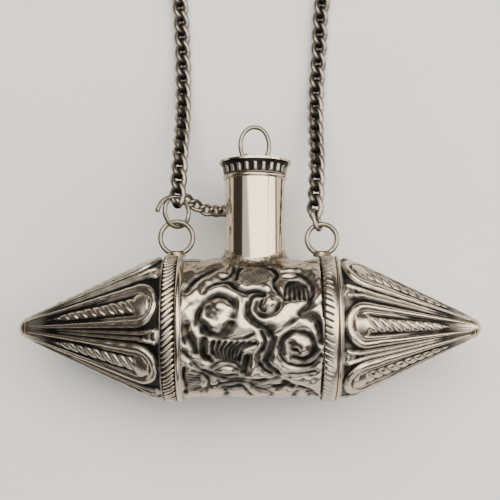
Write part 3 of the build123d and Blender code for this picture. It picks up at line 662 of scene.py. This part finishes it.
def curb_chain_tree():
    """Twisted oval links, one behind the other along a line."""
    net, given, result = new_net(
        "curb_chain",
        "GeometryNodeTree",
        [
            ("Geometry", "Geometry", None), ("Pitch", "Float", 0.003), ("Link Length", "Float", 0.004),
            ("Link Width", "Float", 0.0027), ("Wire", "Float", 0.0009), ("Twist", "Float", 0.8),
            ("Roll", "Float", 0.0), ("Unevenness", "Float", 0.2), ("Seed", "Int", 5),
            ("Finish", "Material", None),
        ],
        [("Geometry", "Geometry")],
    )
    oval = net.put("GeometryNodeCurvePrimitiveCircle", {"Resolution": 16, "Radius": 1.0})
    parts = net.position_parts()
    half_length, half_width = net.times(given["Link Length"], 0.5), net.times(given["Link Width"], 0.5)
    x, y = net.times(parts[0], half_length), net.times(parts[1], half_width)
    flat = net.vector(x, y, 0.0)
    twist = net.times(parts[0], given["Twist"])
    turned = net.put("ShaderNodeVectorRotate", {"Vector": flat, "Angle": twist}, rotation_type="X_AXIS")
    half_wire = net.times(given["Wire"], 0.5)
    section = net.put("GeometryNodeCurvePrimitiveCircle", {"Resolution": 7, "Radius": half_wire})
    link = net.put("GeometryNodeCurveToMesh", {"Curve": net.moved(oval, turned), "Profile Curve": section})
    # darker at the two ends of each link, where it passes through the next links
    end = net.over(net.unsigned(parts[0]), half_length)
    inner = net.less(1.15, net.over(net.unsigned(parts[1]), half_width))
    link_end_darkening = net.times(net.power(end, 2.0), inner)
    link = net.put(
        "GeometryNodeStoreNamedAttribute",
        {"Geometry": link, "Name": "tarnish_and_shade", "Value": link_end_darkening},
        data_type="FLOAT", domain="POINT",
    )
    line = net.put("GeometryNodeMeshToCurve", {"Mesh": given["Geometry"]})
    spaced = net.put("GeometryNodeResampleCurve", {"Curve": line, "Length": given["Pitch"]}, mode="LENGTH")
    tangent = net.put("GeometryNodeInputTangent")
    sway = net.times(net.less(net.chance(given["Seed"]), 0.5), given["Unevenness"])
    upward = net.put(
        "ShaderNodeVectorRotate",
        {"Vector": (0.0, 0.0, 1.0), "Axis": tangent, "Angle": net.add(given["Roll"], sway)},
        rotation_type="AXIS_ANGLE",
    )
    links = net.spread_out(spaced, link, net.facing(tangent, "X", upward, "Z"))
    net.finish_with(links, given["Finish"], result)
    return net.tree


def evaluated_mesh(carrier):
    """Plain mesh of an object as its modifiers or its curve make it; the object itself goes."""
    bpy.context.scene.collection.objects.link(carrier)
    evaluated = carrier.evaluated_get(bpy.context.evaluated_depsgraph_get())
    mesh = bpy.data.meshes.new_from_object(evaluated)
    mesh.name = carrier.name
    for modifier in list(carrier.modifiers):
        carrier.modifiers.remove(modifier)
    bpy.data.objects.remove(carrier)
    return mesh


def grown(name, tree, values, base=None):
    """Plain mesh object that a geometry node tree makes from its named inputs."""
    carrier = bpy.data.objects.new(name, base or bpy.data.meshes.new(name))
    modifier = carrier.modifiers.new(name, "NODES")
    modifier.node_group = tree
    sockets = {s.name: s.identifier for s in tree.interface.items_tree if s.in_out == "INPUT"}
    for label, value in values.items():
        modifier[sockets[label]] = value
    return bpy.data.objects.new(name, evaluated_mesh(carrier))


# ---- finishes ----
def patina_and_shade_group():
    """Worn metal: blotches, hollows gone dark with tarnish and painted shade, hammer marks and fine
    scratches.
    """
    name = "worn_and_shaded_metal"
    if name in bpy.data.node_groups:
        return bpy.data.node_groups[name]
    net, given, result = new_net(
        name,
        "ShaderNodeTree",
        [
            ("Place", "Vector", None), ("Tarnish And Shade", "Float", 0.0),
            ("Bright", "Color", (0.86, 0.82, 0.74, 1)), ("Dull", "Color", (0.42, 0.39, 0.34, 1)),
            ("Black", "Color", (0.03, 0.026, 0.022, 1)), ("Blotches", "Float", 0.4),
            ("Blotch Scale", "Float", 260.0), ("Gloss", "Float", 0.16), ("Dullness", "Float", 0.5),
        ],
        [("Color", "Color"), ("Roughness", "Float"), ("Metal", "Float"), ("Height", "Float")],
    )
    place = given["Place"]
    blotch = net.noise(place, given["Blotch Scale"], 5.0)
    grain = net.noise(place, 2400.0, 3.0)
    stretched = net.put("ShaderNodeVectorMath", {0: place, 1: (1.0, 9.0, 3.0)}, operation="MULTIPLY")
    scratch = net.noise(stretched, 900.0, 4.0)
    uneven = net.times(net.less(blotch, 0.5), given["Blotches"])
    dark = net.put("ShaderNodeClamp", {0: net.add(given["Tarnish And Shade"], uneven)})

    def darkened(low, high):
        return net.put("ShaderNodeMapRange", {0: dark, 1: low, 2: high}, interpolation_type="SMOOTHSTEP")

    to_dull, to_black = darkened(0.05, 0.5), darkened(0.38, 0.95)
    dull = net.mix(to_dull, given["Bright"], given["Dull"])
    net.feed(result["Color"], net.mix(to_black, dull, given["Black"]))
    rough = net.times_add(dark, net.less(given["Dullness"], given["Gloss"]), given["Gloss"])
    fine = net.times(net.less(scratch, 0.45), 0.22)
    rough = net.add(rough, net.unsigned(fine))
    net.feed(result["Roughness"], net.put("ShaderNodeClamp", {0: rough, 1: 0.05, 2: 1.0}))
    net.feed(result["Metal"], net.less(1.0, net.times(to_black, 0.15)))
    bumps = net.times_add(blotch, 0.8, net.times(grain, 0.16))
    net.feed(result["Height"], net.times_add(scratch, 0.12, bumps))
    return net.tree


def bare_finish(name):
    """New material with an empty node tree, and its net."""
    finish = bpy.data.materials.new(name)
    finish.use_nodes = True
    finish.node_tree.nodes.clear()
    return finish, Net(finish.node_tree)


def lit(net, inputs):
    """Ends a material's tree in its shader."""
    net.node("ShaderNodeOutputMaterial", {"Surface": net.put("ShaderNodeBsdfPrincipled", inputs)})


def metal(name, look):
    """Worn metal finish; an even darkening takes the place of the tarnish and painted shade that a piece
    holds on its points.
    """
    finish, net = bare_finish(name)
    inputs = dict(zip(LOOK, look))
    bump = inputs.pop("Bump")
    if inputs["Tarnish And Shade"] is None:
        # the piece's own darkness per point, tarnish and painted shade together
        inputs["Tarnish And Shade"] = net.node("ShaderNodeAttribute", attribute_name="tarnish_and_shade").outputs["Fac"]
    inputs["Place"] = net.place()
    worn = net.node("ShaderNodeGroup", inputs, node_tree=patina_and_shade_group()).outputs
    dents = net.put("ShaderNodeBump", {"Strength": bump, "Distance": BUMP_DEPTH, "Height": worn["Height"]})
    inputs = {"Base Color": worn["Color"], "Roughness": worn["Roughness"], "Metallic": worn["Metal"]}
    lit(net, {**inputs, "Normal": dents})
    return finish


def cork(name):
    """Turned cork: warm brown with dark pores."""
    finish, net = bare_finish(name)
    place = net.place()
    cells = net.put("ShaderNodeTexVoronoi", {"Vector": place, "Scale": 900.0})
    pores = net.put("ShaderNodeMapRange", {0: net.noise(place, 500.0, 6.0), 1: 0.56, 2: 0.68})
    tone = net.mix(cells, (0.36, 0.20, 0.10, 1), (0.56, 0.36, 0.2, 1))
    tone = net.mix(pores, tone, (0.10, 0.05, 0.03, 1))
    rough = net.put("ShaderNodeMapRange", {0: cells, 3: 0.7, 4: 0.95})
    dents = net.put("ShaderNodeBump", {"Strength": 0.5, "Distance": BUMP_DEPTH, "Height": cells})
    lit(net, {"Base Color": tone, "Roughness": rough, "Normal": dents})
    return finish


def opaque(colour, share=1.0):
    """A colour with its alpha, darker by a share."""
    return tuple(c * share for c in tuple(colour)[:3]) + (1,)


def made_finish(slot):
    """The finish of one slot, from the flask's colours; it is made on its first use."""
    name = slot + "_finish"
    if name in bpy.data.materials:
        return bpy.data.materials[name]
    if slot == "cork":
        return cork(name)
    tint = bpy.context.scene.flask_colours
    bright, dull, black = opaque(tint.silver), opaque(tint.dull), opaque(tint.tarnish_and_shade)
    looks = {
        "chased_silver": (bright, dull, black, 0.42, 260.0, 0.20, 0.5, None, 0.16),
        "hatched_silver": (bright, dull, black, 0.4, 260.0, 0.24, 0.5, 0.06, 0.12),
        "hatch_ground": (bright, dull, black, 0.2, 260.0, 0.3, 0.6, 0.95, 0.2),
        "plain_silver": (bright, dull, black, 0.35, 260.0, 0.13, 0.45, 0.1, 0.12),
        "polished_silver": (NECK_SILVER, dull, black, 0.25, 120.0, 0.09, 0.35, 0.0, 0.03),
        "silver_wire": (dull, opaque(dull, 0.45), black, 0.8, 700.0, 0.28, 0.5, 0.15, 0.2),
        "chain_silver": (dull, opaque(dull, 0.55), black, 0.5, 600.0, 0.27, 0.55, None, 0.2),
        "solder": (SOLDER, DULL_SOLDER, black, 1.6, 900.0, 0.20, 0.5, 0.36, 0.7),
    }
    return metal(name, looks[slot])


def fit(piece, body, slot, *replaced):
    """Puts a finished piece into the scene: its finish, its CAD body and the nodes it stands for."""
    bpy.context.scene.collection.objects.link(piece)
    piece.data.materials.clear()
    piece.data.materials.append(made_finish(slot))
    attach(piece, body)
    if replaced:
        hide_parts(*replaced)


# ---- wires and routes ----
def soft_curve(name, points, order, steps):
    """Curve object of one NURBS spline that is led by a few points and ends on the first and last."""
    curve = bpy.data.curves.new(name, "CURVE")
    curve.dimensions = "3D"
    curve.resolution_u = steps
    spline = curve.splines.new("NURBS")
    spline.points.add(len(points) - 1)
    for point, place in zip(spline.points, points):
        point.co = tuple(c * MM for c in place) + (1,)
    spline.order_u = order
    spline.use_endpoint_u = True
    return bpy.data.objects.new(name, curve)


def smooth_route(name, route):
    """The line of a soft curve, as a mesh of one polyline."""
    return evaluated_mesh(soft_curve(name, route, 3, 10))


def bent_wire(name, points, gauge):
    """Round wire bent through a few points, with closed ends."""
    carrier = soft_curve(name, points, 4, 6)
    carrier.data.bevel_depth = gauge * MM / 2
    carrier.data.bevel_resolution = 4
    carrier.data.use_fill_caps = True
    mesh = evaluated_mesh(carrier)
    bm = bmesh.new()
    bm.from_mesh(mesh)
    bmesh.ops.remove_doubles(bm, verts=bm.verts, dist=1e-7)
    bmesh.ops.recalc_face_normals(bm, faces=bm.faces)
    for face in bm.faces:
        face.smooth = len(face.verts) == 4
    bm.to_mesh(mesh)
    bm.free()
    return bpy.data.objects.new(name, mesh)


def coil_points():
    """The put-away length: in along the table, then out again on top of itself, clockwise from above."""
    count = round(COIL_TURNS * POINTS_PER_TURN)
    points = []
    for number in range(1, 2 * count):
        share = number / count
        inward = share if share < 1 else 2 - share
        radius = COIL_OUTER + (COIL_INNER - COIL_OUTER) * inward
        turn = math.pi - share * COIL_TURNS * FULL_TURN
        x, y = COIL_CENTRE[0] + radius * math.cos(turn), COIL_CENTRE[1] + radius * math.sin(turn)
        points.append((x, y, COIL_LOW + (COIL_HIGH - COIL_LOW) * float(smooth_step(0.9, 1.1, share))))
    return points


# ---- sizes and colours ----
class FlaskSizes(bpy.types.PropertyGroup):
    relief: bpy.props.FloatProperty(
        name="Relief", description="Depth of the chasing against its drawn depth",
        default=1.0, min=0.2, max=1.2,
    )
    fineness: bpy.props.FloatProperty(
        name="Fineness", description="Distance between points of the chased skin",
        default=0.17 * MM, min=0.1 * MM, unit="LENGTH",
    )
    left_hatches: bpy.props.IntProperty(
        name="Left hatches", description="Hatches round the left collar", default=82, min=3
    )
    right_hatches: bpy.props.IntProperty(
        name="Right nicks", description="Nicks round the right collar", default=70, min=3
    )
    rim_lobes: bpy.props.IntProperty(name="Rim lobes", description="Lobes round the neck's rim", default=23)
    link_pitch: bpy.props.FloatProperty(
        name="Link pitch", description="Distance from link to link", default=3.25 * MM, unit="LENGTH"
    )
    link_wire: bpy.props.FloatProperty(
        name="Link wire", description="Wire gauge of the neck chain", default=1.25 * MM, unit="LENGTH"
    )


class FlaskColours(bpy.types.PropertyGroup):
    silver: bpy.props.FloatVectorProperty(
        name="Silver", description="Rubbed silver", subtype="COLOR", default=(0.50, 0.43, 0.34), min=0, max=1
    )
    dull: bpy.props.FloatVectorProperty(
        name="Dull silver", description="Silver with a light patina", subtype="COLOR",
        default=(0.26, 0.235, 0.20), min=0, max=1,
    )
    # the darkest colour, taken both by the tarnish in the hollows and by the painted shade
    tarnish_and_shade: bpy.props.FloatVectorProperty(
        name="Tarnish", description="Tarnish in the hollows", subtype="COLOR",
        default=(0.007, 0.006, 0.005), min=0, max=1,
    )
    floor: bpy.props.FloatVectorProperty(
        name="Floor", description="Studio floor", subtype="COLOR", default=(0.74, 0.735, 0.72), min=0, max=1
    )


class FLASK_OT_drum(bpy.types.Operator):
    """Chased drum between the collars"""

    bl_idname = "flask.drum"
    bl_label = "Chased drum"

    def execute(self, context):
        sizes = context.scene.flask_sizes
        step = sizes.fineness / MM
        left, right = span("drum_shell")
        stations = np.concatenate([[left], np.arange(-13.4, 14.0, step), [right]])
        fine = step / DRUM_RADIUS
        first, last = map(math.radians, FRONT_ARC)
        front = np.arange(first, last, fine)
        behind = np.arange(last, math.radians(FRONT_ARC[0] + 360), fine * BACK_COARSENESS)
        angles = np.sort((np.concatenate([front, behind]) + math.pi) % FULL_TURN - math.pi)
        height = drum_relief(stations, angles) * sizes.relief
        inner_stations = np.concatenate([[left], np.arange(-15.0, 16.0, 0.9), [right]])
        piece = relief_shell(
            "chased_drum",
            (stations, angles, DRUM_RADIUS + height),
            (inner_stations, np.full(len(inner_stations), DRUM_RADIUS - SHEET)),
            patina_and_shade_of(height, DARK_HEIGHT, BRIGHT_HEIGHT),
            hole=(NECK_X, NECK_BORE),
        )
        fit(piece, "flask", "chased_silver", "drum_shell")
        return {"FINISHED"}


class FLASK_OT_cones(bpy.types.Operator):
    """Two chased cones"""

    bl_idname = "flask.cones"
    bl_label = "Chased cones"

    def execute(self, context):
        relief = context.scene.flask_sizes.relief
        for side, name, panels, painted_shade in (
            (-1, "left", LEFT_PANELS, LEFT_PAINTED_SHADE),
            (1, "right", RIGHT_PANELS, RIGHT_PAINTED_SHADE),
        ):
            base, end = span(name + "_cone")[::side]
            length = abs(end - base)
            reach = np.linspace(0, length, 150)
            curve = FOOT_RADIUS - (FOOT_RADIUS - SHOULDER_RADIUS) * (reach / SHOULDER_AT) ** 2
            flank = SHOULDER_RADIUS - (
                (SHOULDER_RADIUS - TIP_RADIUS) * (reach - SHOULDER_AT) / (length - SHOULDER_AT)
            )
            radius = np.where(reach < SHOULDER_AT, curve, flank)
            angles = full_circle(420)
            height = cone_relief(reach, radius, angles, panels, side) * relief
            height *= smooth_step(length, length - 2.5, reach)[:, None]
            tarnish_and_shade = patina_and_shade_of(height / cone_scale(radius)[:, None], -0.36, 0.20)
            tarnish_and_shade *= 1 - 0.85 * smooth_step(length - 6, length - 0.5, reach)[:, None]
            # painted shade: an even darkening on top of the cone's tarnish, strongest on the left cone
            tarnish_and_shade = np.clip(tarnish_and_shade + painted_shade, 0, 1)
            inner_reach = np.linspace(0, length, 12)
            inner = np.interp(inner_reach, reach, radius - SHEET)
            inner[-1] = TIP_BORE
            piece = relief_shell(
                name + "_chased_cone",
                ((base + side * reach)[::side], angles, (radius[:, None] + height)[::side]),
                ((base + side * inner_reach)[::side], inner[::side]),
                tarnish_and_shade[::side],
            )
            fit(piece, "flask", "chased_silver", name + "_cone")
        return {"FINISHED"}


class FLASK_OT_left_collar(bpy.types.Operator):
    """Slanted hatches round the left collar"""

    bl_idname = "flask.left_collar"
    bl_label = "Left collar"

    def execute(self, context):
        count = context.scene.flask_sizes.left_hatches
        low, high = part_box("left_collar_band")
        radius = (high.z - AXIS.z) - HATCH_SINK * MM
        pitch = FULL_TURN * radius / count
        length, width = (high.x - low.x) / math.cos(HATCH_SLANT), pitch * math.cos(HATCH_SLANT)
        piece = grown(
            "left_hatches",
            beaded_ring_tree(),
            {
                "Count": count, "Centre": ((low.x + high.x) / 2, AXIS.y, AXIS.z), "Radius": radius,
                "Bead": (length * 0.96, width * 0.97, HATCH_THICKNESS * MM), "Slant": HATCH_SLANT,
                "Unevenness": 0.28, "Lowest": FLOOR_CLEARANCE * MM, "Seed": 3,
                "Finish": made_finish("hatched_silver"),
            },
        )
        fit(piece, "flask", "hatched_silver")
        return {"FINISHED"}


class FLASK_OT_right_collar(bpy.types.Operator):
    """Rounded right collar with short slanted nicks cut along its drum side"""

    bl_idname = "flask.right_collar"
    bl_label = "Right collar"

    def execute(self, context):
        start, end = span("right_collar_band")
        count = context.scene.flask_sizes.right_hatches
        stations = np.linspace(start, end, 29)
        angles = full_circle(count * 14)
        across = (2 * stations - start - end) / (end - start)  # -1 at the drum side, 1 at the cone side
        side, turn = np.meshgrid(across, angles, indexing="ij")
        chance = np.random.default_rng(8)
        nick, phase = lots(turn, count, 0.5 * side)
        sway = chance.uniform(-0.12, 0.12, count)[nick]
        reach = chance.uniform(0.1, 0.45, count)[nick]
        cut = np.exp(-(((phase - sway) / 0.10) ** 2))
        cut *= 1 - smooth_step(reach - 0.3, reach + 0.1, side)
        crown = COLLAR_CROWN * np.sqrt(np.clip(1 - side**2, 0, 1))
        height = soften(crown - NICK_DEPTH * cut)
        edge = smooth_step(0.86, 1.0, np.abs(side))
        tarnish_and_shade = np.clip(0.95 * cut + 0.8 * edge, 0, 1)
        worn = (AXIS_Z - FLOOR_CLEARANCE) / np.maximum(-np.cos(angles), 0.1)  # flat where it meets the table
        radii = np.minimum(COLLAR_RADIUS + height, worn[None, :])
        inner = np.linspace(start, end, 4), np.full(4, DRUM_RADIUS)
        piece = relief_shell("right_nicked_collar", (stations, angles, radii), inner, tarnish_and_shade)
        fit(piece, "flask", "chased_silver", "right_collar_band")
        return {"FINISHED"}


class FLASK_OT_neck(bpy.types.Operator):
    """Fluted rim that flares from the neck to the stopper's plate"""

    bl_idname = "flask.neck"
    bl_label = "Neck rim"

    def execute(self, context):
        foot, top = span("neck_rim", "y")
        low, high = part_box("neck_rim")
        outer = (high.x - low.x) / MM / 2 - RIM_LIP
        lobes = context.scene.flask_sizes.rim_lobes
        stations = np.linspace(foot, top, 25)
        angles = full_circle(lobes * 20)
        share = (stations - foot) / (top - foot)
        flare = RIM_FOOT + (outer - RIM_FOOT) * share**1.6
        rise, turn = np.meshgrid(share, angles, indexing="ij")
        strength = np.random.default_rng(11).uniform(0.6, 1.0, lobes)
        number, phase = lots(turn, lobes)
        lobe = np.sqrt(np.clip(1 - (phase / 0.26) ** 2, 0, 1)) * strength[number]
        band = smooth_step(0.06, 0.26, rise) * (1 - smooth_step(0.66, 0.84, rise))
        height = soften(LOBE_HEIGHT * lobe * band - FLUTE_DEPTH * band)
        lip = RIM_LIP * smooth_step(0.84, 0.94, rise)
        tarnish_and_shade = 0.90 - 0.80 * lobe * band - 0.45 * smooth_step(0.10, 0.0, rise)
        piece = relief_shell(
            "fluted_rim",
            (stations, angles, flare[:, None] + height + lip),
            (np.linspace(foot, top, 5), np.full(5, RIM_BORE)),
            tarnish_and_shade,
            upright=True,
        )
        fit(piece, "flask", "chased_silver", "neck_rim")
        return {"FINISHED"}


class FLASK_OT_rings(bpy.types.Operator):
    """Bent wire rings: the stopper's pull ring and the open jump ring"""

    bl_idname = "flask.rings"
    bl_label = "Wire rings"

    def execute(self, context):
        pivot = (NECK_X, span("pull_ring", "y")[0] + PIVOT_RISE, AXIS_Z)
        places = [tuple(map(sum, zip(pivot, bend))) for bend in PULL_RING_BENDS]
        fit(bent_wire("pull_ring_wire", places, PULL_GAUGE), "pull_ring", "silver_wire", "pull_ring")

        low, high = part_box("jump_ring")
        centre = np.array(((low + high) / 2) / MM)
        radius = (high.y - low.y) / MM / 2 - JUMP_GAUGE / 2
        tilt = math.radians(JUMP_TILT)
        across = np.array((math.cos(tilt), 0, -math.sin(tilt)))
        upward = np.array((0.0, 1.0, 0.0))
        normal = np.cross(across, upward)
        places = []
        for share in (number / 28 for number in range(29)):
            angle = math.radians(JUMP_START + JUMP_SWEEP * share)
            past = max(0.0, (share - 0.80) / 0.20)  # the outer end, lapped over the blunt one
            swell = 1 + 0.42 * past**1.3
            sweep = across * math.cos(angle) + upward * math.sin(angle)
            places.append(tuple(centre + radius * swell * sweep - normal * 0.75 * min(1.0, past * 1.6)))
        fit(bent_wire("open_jump_ring", places, JUMP_GAUGE), "flask", "silver_wire", "jump_ring")
        return {"FINISHED"}


def chain(name, route, pitch, length, width, wire, seed, finish):
    """Curb chain along a route."""
    values = {
        "Pitch": pitch, "Link Length": length, "Link Width": width, "Wire": wire, "Twist": -1.0,
        "Roll": 0.0, "Unevenness": 0.3, "Seed": seed, "Finish": made_finish(finish),
    }
    tree = bpy.data.node_groups.get("curb_chain") or curb_chain_tree()
    return grown(name, tree, values, route)


class FLASK_OT_chain(bpy.types.Operator):
    """Curb neck chain along its whole route, and the finer tether"""

    bl_idname = "flask.chain"
    bl_label = "Chains"

    def execute(self, context):
        sizes = context.scene.flask_sizes
        pitch, wire = sizes.link_pitch, sizes.link_wire
        route = smooth_route("chain_route", LEFT_STRAND + coil_points() + RIGHT_STRAND[::-1])
        piece = chain(
            "neck_chain", route, pitch, pitch + wire * 1.45, CHAIN_WIDTH - wire, wire, 5, "chain_silver"
        )
        fit(piece, "flask", "chain_silver", "left_strand", "right_strand", "chain_coil")
        route = smooth_route("tether_route", TETHER_ROUTE)
        tether = chain("tether_chain", route, *(size * MM for size in TETHER_LINK), 9, "silver_wire")
        fit(tether, "flask", "silver_wire", "tether_links")
        return {"FINISHED"}


class FLASK_OT_plain_pieces(bpy.types.Operator):
    """Finishes on the pieces that keep their CAD shape"""

    bl_idname = "flask.plain_pieces"
    bl_label = "Plain pieces"

    def execute(self, context):
        for slot, nodes in CAD_FINISHES.items():
            for node in nodes:
                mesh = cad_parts[node].data
                mesh.materials.clear()
                mesh.materials.append(made_finish(slot))
        return {"FINISHED"}


# ---- stage ----
def softbox(name, place, aim, size, power, colour):
    """Soft rectangular light that faces a point."""
    light = bpy.data.lights.new(name, "AREA")
    light.shape = "RECTANGLE"
    light.size, light.size_y = size
    light.energy = power
    light.color = colour
    lamp = bpy.data.objects.new(name, light)
    lamp.location = place
    lamp.rotation_euler = (Vector(aim) - Vector(place)).to_track_quat("-Z", "Y").to_euler()
    bpy.context.scene.collection.objects.link(lamp)


class FLASK_OT_stage(bpy.types.Operator):
    """Floor, studio light and camera"""

    bl_idname = "flask.stage"
    bl_label = "Stage"

    def execute(self, context):
        scene = context.scene
        mesh = bpy.data.meshes.new("studio_floor")
        corners = [(x * FLOOR_HALF, y * FLOOR_HALF, 0) for x, y in ((-1, -1), (1, -1), (1, 1), (-1, 1))]
        mesh.from_pydata(corners, [], [(0, 1, 2, 3)])
        floor = bpy.data.objects.new("studio_floor", mesh)
        finish, net = bare_finish("studio_floor")
        pale = opaque(scene.flask_colours.floor)
        paler = tuple(min(1, c * 1.04) for c in pale[:3]) + (1,)
        lit(net, {"Base Color": net.mix(net.noise(net.place(), 40.0, 4.0), pale, paler), "Roughness": 0.75})
        mesh.materials.append(finish)
        scene.collection.objects.link(floor)

        world = bpy.data.worlds.new("studio")
        world.use_nodes = True
        world.node_tree.nodes["Background"].inputs[0].default_value = ROOM_LIGHT
        world.node_tree.nodes["Background"].inputs[1].default_value = 1.0
        scene.world = world
        for light in SOFTBOXES:
            softbox(*light)

        target = Vector((0.0, AXIS.y + VIEW_RISE * MM, AXIS.z))
        tilt = math.radians(VIEW_TILT)
        eye = target + VIEW_DISTANCE * Vector((0.0, -math.sin(tilt), math.cos(tilt)))
        lens = bpy.data.cameras.new("camera")
        lens.lens, lens.sensor_width = 82.8, 36
        lens.clip_start, lens.clip_end = 0.01, 10
        camera = bpy.data.objects.new("camera", lens)
        forward = (target - eye).normalized()
        right = Vector((1, 0, 0))
        upward = right.cross(forward)
        turn = Matrix((right, upward, -forward)).transposed().to_4x4()
        camera.matrix_world = Matrix.Translation(eye) @ turn
        scene.collection.objects.link(camera)
        scene.camera = camera
        return {"FINISHED"}


OPERATORS = (
    FLASK_OT_drum,
    FLASK_OT_cones,
    FLASK_OT_left_collar,
    FLASK_OT_right_collar,
    FLASK_OT_neck,
    FLASK_OT_rings,
    FLASK_OT_chain,
    FLASK_OT_plain_pieces,
    FLASK_OT_stage,
)


class FLASK_PT_panel(bpy.types.Panel):
    """Pieces of the flask, with their sizes and colours"""

    bl_idname = "FLASK_PT_panel"
    bl_label = "Silver scent flask"
    bl_space_type = "VIEW_3D"
    bl_region_type = "UI"
    bl_category = "Flask"

    def draw(self, context):
        for group in (context.scene.flask_sizes, context.scene.flask_colours):
            for key in group.__annotations__:
                self.layout.prop(group, key)
        for operator in OPERATORS:
            self.layout.operator(operator.bl_idname)


CLASSES = (FlaskSizes, FlaskColours) + OPERATORS + (FLASK_PT_panel,)


def register():
    for item in CLASSES:
        bpy.utils.register_class(item)
    bpy.types.Scene.flask_sizes = bpy.props.PointerProperty(type=FlaskSizes)
    bpy.types.Scene.flask_colours = bpy.props.PointerProperty(type=FlaskColours)


def unregister():
    del bpy.types.Scene.flask_colours
    del bpy.types.Scene.flask_sizes
    for item in reversed(CLASSES):
        bpy.utils.unregister_class(item)


def main():
    """Builds the whole flask and its stage."""
    register()
    for operator in OPERATORS:
        group, name = operator.bl_idname.split(".")
        getattr(getattr(bpy.ops, group), name)()


if __name__ == "__main__":
    main()
